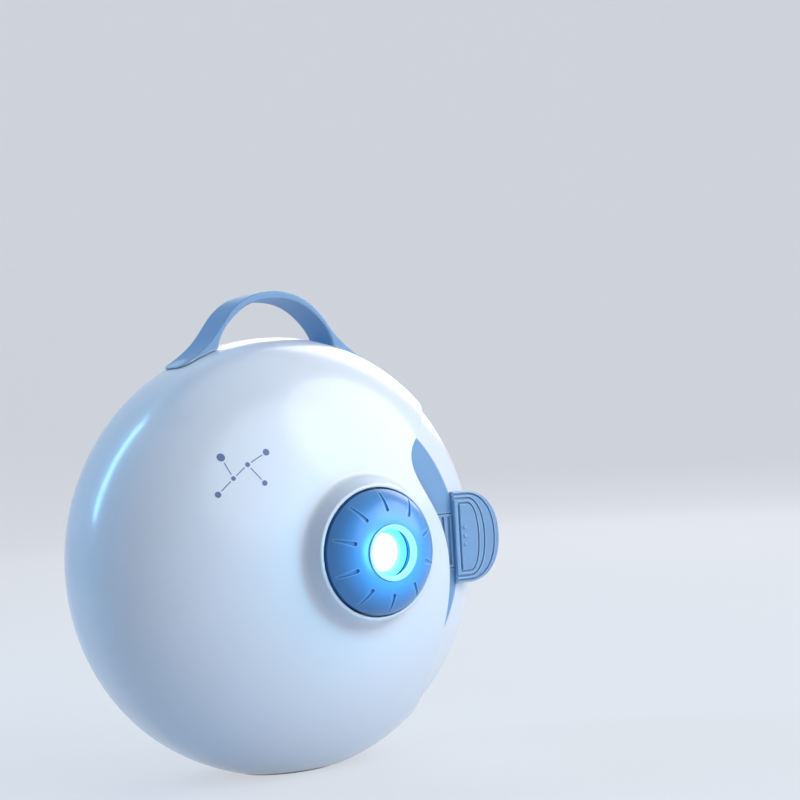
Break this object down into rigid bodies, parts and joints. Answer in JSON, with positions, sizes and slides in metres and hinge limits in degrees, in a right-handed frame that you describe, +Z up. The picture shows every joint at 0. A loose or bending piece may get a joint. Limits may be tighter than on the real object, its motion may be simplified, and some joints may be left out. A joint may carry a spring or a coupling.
{
  "type": "star night light projector",
  "caption": "Round drum-shaped night light projector with a carrying handle, a focusing knob round the lens and a side film slide.",
  "frame": {"origin": "centre of the foot pad's flat underside, below the body centre", "axes": "+Z up, -Y the way the lens looks, +X to the side that the film slide goes in from"},
  "size_m": [0.1488, 0.0979, 0.1638],
  "materials": {
    "shell_white": "gloss moulded ABS, cool white",
    "band_white": "gloss moulded ABS, white",
    "trim_blue": "fine satin moulded ABS, blue-grey",
    "knob_blue": "satin moulded ABS, blue",
    "bezel_blue": "gloss moulded ring",
    "pad_grey": "matt silicone",
    "black_plastic": "fine matt black",
    "lens_clear": "polished clear acrylic",
    "film_print": "printed transparency",
    "led_yellow": "phosphor and silicone dome",
    "sink_alu": "plain extruded aluminium",
    "board_green": "solder mask",
    "board_white": "white solder mask on aluminium",
    "chip_black": "moulded packages",
    "screw_steel": "zinc plated steel",
    "spring_steel": "bare spring strip",
    "cell_wrap": "shrink film, plain",
    "contact_nickel": "nickel plated strip",
    "pipe_frost": "frosted acrylic"
  },
  "bodies": {
    "housing": {"front_shell": "shell_white", "rear_shell": "shell_white", "side_band": "band_white", "slot_panel": "trim_blue", "base_pad": "pad_grey", "handle": "trim_blue", "handle_screws": "screw_steel", "knob_snap_ring": "spring_steel", "lens_barrel": "black_plastic", "film_gate": "black_plastic", "gate_spring": "spring_steel", "gate_screws": "screw_steel", "condenser_holder": "black_plastic", "condenser_lens": "lens_clear", "optic_screws": "screw_steel", "led_board": "board_white", "led_emitter": "led_yellow", "heat_sink": "sink_alu", "led_screws": "screw_steel", "main_board": "board_green", "board_screws": "screw_steel", "board_chips": "chip_black", "switch_bodies": "chip_black", "light_pipe": "pipe_frost", "indicator_led": "led_yellow", "usb_socket": "screw_steel", "battery_cell": "cell_wrap", "battery_cradle": "black_plastic", "cradle_screws": "screw_steel", "battery_contacts": "contact_nickel", "shell_screw_set": "screw_steel"},
    "knob": {"focus_knob": "knob_blue", "lens_bezel": "bezel_blue"},
    "cell": {"lens_cell": "black_plastic", "cam_pins": "screw_steel", "front_lens": "lens_clear", "lens_retainer": "black_plastic", "rear_lens": "lens_clear"},
    "slide": {"film_slide": "trim_blue", "film_disc": "film_print", "film_ring": "spring_steel"},
    "power": {"power_button": "trim_blue", "power_plunger": "black_plastic"},
    "mode": {"mode_button": "trim_blue", "mode_plunger": "black_plastic"}
  },
  "joints": [
    {"name": "focus_turn", "type": "hinge", "parent": "housing", "child": "knob", "pos_m": [0.011, -0.046, 0.0742], "axis": [0, -1, 0], "range_deg": [-60, 60]},
    {"name": "cell_travel", "type": "slide", "parent": "housing", "child": "cell", "axis": [0, -1, 0], "range_m": [-0.003, 0.003]},
    {"name": "slide_pull", "type": "slide", "parent": "housing", "child": "slide", "axis": [1, 0, 0], "range_m": [0, 0.046]},
    {"name": "power_press", "type": "slide", "parent": "housing", "child": "power", "axis": [0, -1, 0], "range_m": [0, 0.0008], "stiffness_N_per_m": 1500},
    {"name": "mode_press", "type": "slide", "parent": "housing", "child": "mode", "axis": [0, -1, 0], "range_m": [0, 0.0008], "stiffness_N_per_m": 1500}
  ],
  "couplings": [
    {"joint": "focus_turn", "follows": "cell_travel", "rad_per_m": 349.06}
  ]
}
